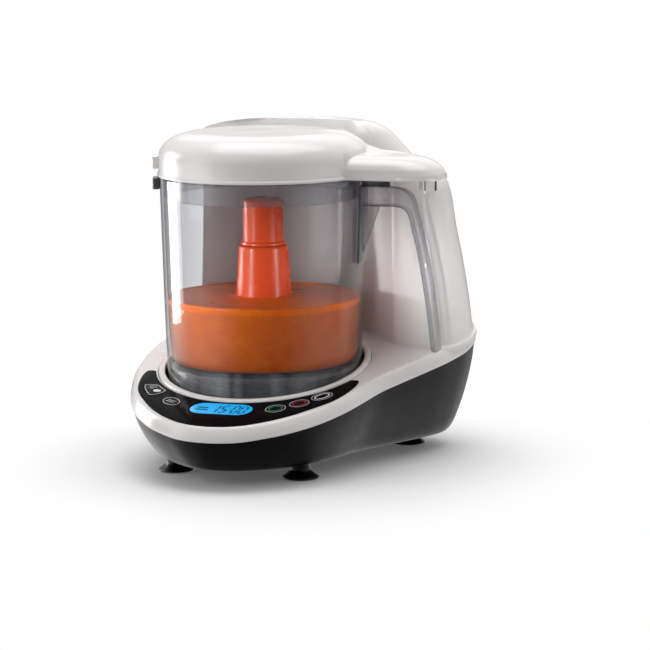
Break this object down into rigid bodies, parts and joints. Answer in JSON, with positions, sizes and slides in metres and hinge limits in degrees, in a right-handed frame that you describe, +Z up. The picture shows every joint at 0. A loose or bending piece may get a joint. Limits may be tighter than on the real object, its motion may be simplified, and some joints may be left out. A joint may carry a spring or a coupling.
{
  "type": "baby food maker",
  "caption": "Countertop steamer and blender for baby food: clear lift-off work bowl with side handle on an inclined control deck, steaming tower behind, domed twist-lock lid.",
  "frame": {"origin": "middle of the part's plan box, on the plane the feet stand on", "axes": "+Z up, front with the controls towards -Y, bowl handle towards +X"},
  "size_m": [0.2164, 0.2356, 0.2213],
  "materials": {
    "white_shell": "high gloss white ABS",
    "charcoal_shell": "fine satin moulded charcoal",
    "panel_black": "mirror gloss black",
    "bowl_clear": "clear smoke tinted copolyester",
    "handle_smoke": "translucent smoke gloss",
    "hub_orange": "gloss orange-red",
    "display_blue": "backlit blue display lens",
    "button_white": "satin white key",
    "button_green": "green key",
    "button_red": "red key",
    "stainless": "ground and polished stainless steel",
    "zinc_screw": "zinc plated",
    "aluminium": "die cast",
    "black_rubber": "matt rubber",
    "silicone": "translucent food grade silicone",
    "board_green": "solder mask",
    "brass": "sintered bronze",
    "tank_clear": "clear tank",
    "black_plastic": "moulded black"
  },
  "bodies": {
    "base": {"main_housing": "white_shell", "lower_housing": "charcoal_shell", "bottom_cover": "charcoal_shell", "base_screw_1": "zinc_screw", "base_screw_2": "zinc_screw", "base_screw_3": "zinc_screw", "base_screw_4": "zinc_screw", "foot_front_left": "black_rubber", "foot_front_right": "black_rubber", "foot_rear_left": "black_rubber", "foot_rear_right": "black_rubber", "seat_ring": "white_shell", "seat_cup": "charcoal_shell", "control_panel": "panel_black", "display_window": "display_blue", "display_module": "black_plastic", "control_board": "board_green", "motor_body": "zinc_screw", "motor_bracket": "aluminium", "water_tank": "tank_clear", "tank_outlet": "silicone", "steam_boiler": "aluminium", "steam_hose": "silicone", "steam_nozzle": "silicone", "interlock_switch": "black_plastic", "cord_grommet": "black_rubber", "power_cord": "black_rubber"},
    "bowl": {"work_bowl": "bowl_clear", "floor_gasket": "black_rubber", "spindle_bush": "brass", "bowl_handle": "handle_smoke"},
    "blades": {"lower_blade_front": "stainless", "lower_blade_back": "stainless", "upper_blade_left": "stainless", "upper_blade_right": "stainless", "blade_hub": "hub_orange", "hub_cap": "hub_orange", "blade_spindle": "stainless", "bowl_coupling": "black_plastic"},
    "motor_rotor": {"motor_shaft": "stainless", "motor_core": "zinc_screw", "drive_coupling": "black_plastic"},
    "lid_seal": {"lid_gasket": "black_rubber"},
    "lid": {"lid_shell": "white_shell", "lid_liner": "silicone", "steam_duct": "silicone"},
    "fill_cap": {"fill_cap": "white_shell"},
    "interlock_plunger": {"interlock_plunger": "button_white"},
    "clean_button": {"clean_button": "button_white"},
    "blend_button": {"blend_button": "button_white"},
    "steam_button": {"steam_button": "button_green"},
    "stop_button": {"stop_button": "button_red"},
    "auto_button": {"auto_button": "button_white"}
  },
  "joints": [
    {"name": "motor_spin", "type": "hinge", "parent": "base", "child": "motor_rotor", "pos_m": [-0.0194, -0.00236, 0.055], "axis": [0, 0, 1], "continuous": true},
    {"name": "bowl_lift", "type": "slide", "parent": "base", "child": "bowl", "axis": [0, 0, 1], "range_m": [0, 0.12]},
    {"name": "blade_spin", "type": "hinge", "parent": "bowl", "child": "blades", "pos_m": [-0.0194, -0.00236, 0.075], "axis": [0, 0, 1], "continuous": true},
    {"name": "lid_lift", "type": "slide", "parent": "bowl", "child": "lid_seal", "axis": [0, 0, 1], "range_m": [0, 0.09]},
    {"name": "lid_turn", "type": "hinge", "parent": "lid_seal", "child": "lid", "pos_m": [-0.0194, -0.00236, 0.19], "axis": [0, 0, 1], "range_deg": [-30, 0]},
    {"name": "fill_cap_lift", "type": "slide", "parent": "base", "child": "fill_cap", "axis": [0, 0, 1], "range_m": [0, 0.03]},
    {"name": "interlock_slide", "type": "slide", "parent": "base", "child": "interlock_plunger", "axis": [0, 1, 0], "range_m": [-0.0015, 0]},
    {"name": "clean_press", "type": "slide", "parent": "base", "child": "clean_button", "axis": [0, 0.2008, -0.9796], "range_m": [0, 0.0008], "stiffness_N_per_m": 800},
    {"name": "blend_press", "type": "slide", "parent": "base", "child": "blend_button", "axis": [0, 0.2008, -0.9796], "range_m": [0, 0.0008], "stiffness_N_per_m": 800},
    {"name": "steam_press", "type": "slide", "parent": "base", "child": "steam_button", "axis": [0, 0.2008, -0.9796], "range_m": [0, 0.0008], "stiffness_N_per_m": 800},
    {"name": "stop_press", "type": "slide", "parent": "base", "child": "stop_button", "axis": [0, 0.2008, -0.9796], "range_m": [0, 0.0008], "stiffness_N_per_m": 800},
    {"name": "auto_press", "type": "slide", "parent": "base", "child": "auto_button", "axis": [0, 0.2008, -0.9796], "range_m": [0, 0.0008], "stiffness_N_per_m": 800}
  ],
  "couplings": [
    {"joint": "motor_spin", "follows": "blade_spin", "ratio": 1},
    {"joint": "interlock_slide", "follows": "lid_turn", "m_per_rad": 0.0028}
  ]
}
